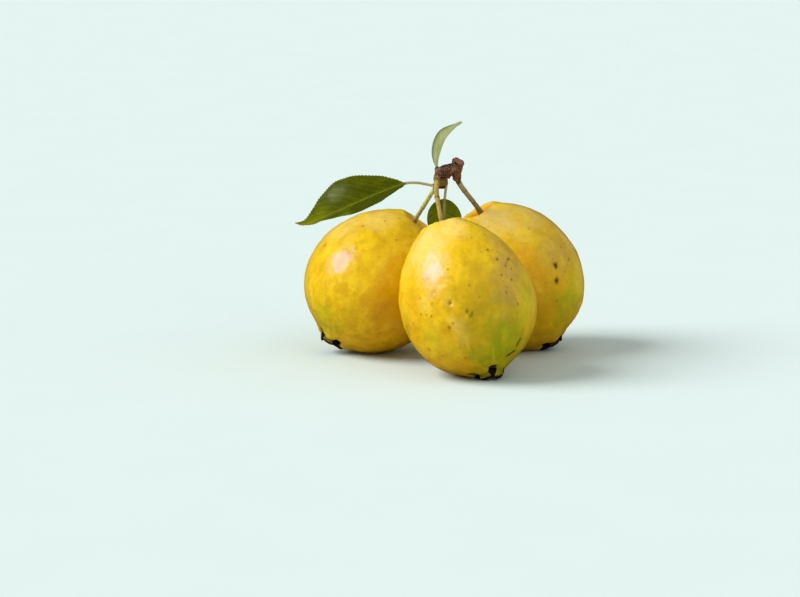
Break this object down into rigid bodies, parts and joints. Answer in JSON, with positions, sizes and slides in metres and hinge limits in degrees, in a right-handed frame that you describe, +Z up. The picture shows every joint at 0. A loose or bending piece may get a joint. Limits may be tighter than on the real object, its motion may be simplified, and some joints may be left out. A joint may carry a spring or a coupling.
{
  "type": "guava cluster",
  "caption": "Cluster of ripe yellow guavas on a short cut twig with leaves; it rests on the fruits' lower ends with the twig standing up in the middle.",
  "frame": {"origin": "bottom centre of the whole cluster's box, on the surface it rests on", "axes": "+Z up, +X to the right and -Y to the front, where fruit_front is"},
  "size_m": [0.1482, 0.1305, 0.1213],
  "materials": {
    "skin": "smooth ripe yellow skin with a thin wax, green near the calyx, small brown specks and pits",
    "dry_calyx": "matt, dried brown-black with olive backs",
    "stalk": "smooth yellow-green stalk skin, browner at both ends",
    "bark": "rough brown bark with ring scars and a cut end",
    "leaf": "dark olive green with a soft sheen and paler veins, pale grey-green below"
  },
  "bodies": {
    "root": {"fruit_front": "skin", "fruit_right": "skin", "fruit_left": "skin", "calyx_front": "dry_calyx", "calyx_right": "dry_calyx", "calyx_left": "dry_calyx", "stem_front": "stalk", "stem_right": "stalk", "stem_left": "stalk", "twig": "bark", "leaf_left": "leaf", "leaf_top": "leaf", "leaf_hanging": "leaf"}
  },
  "joints": []
}
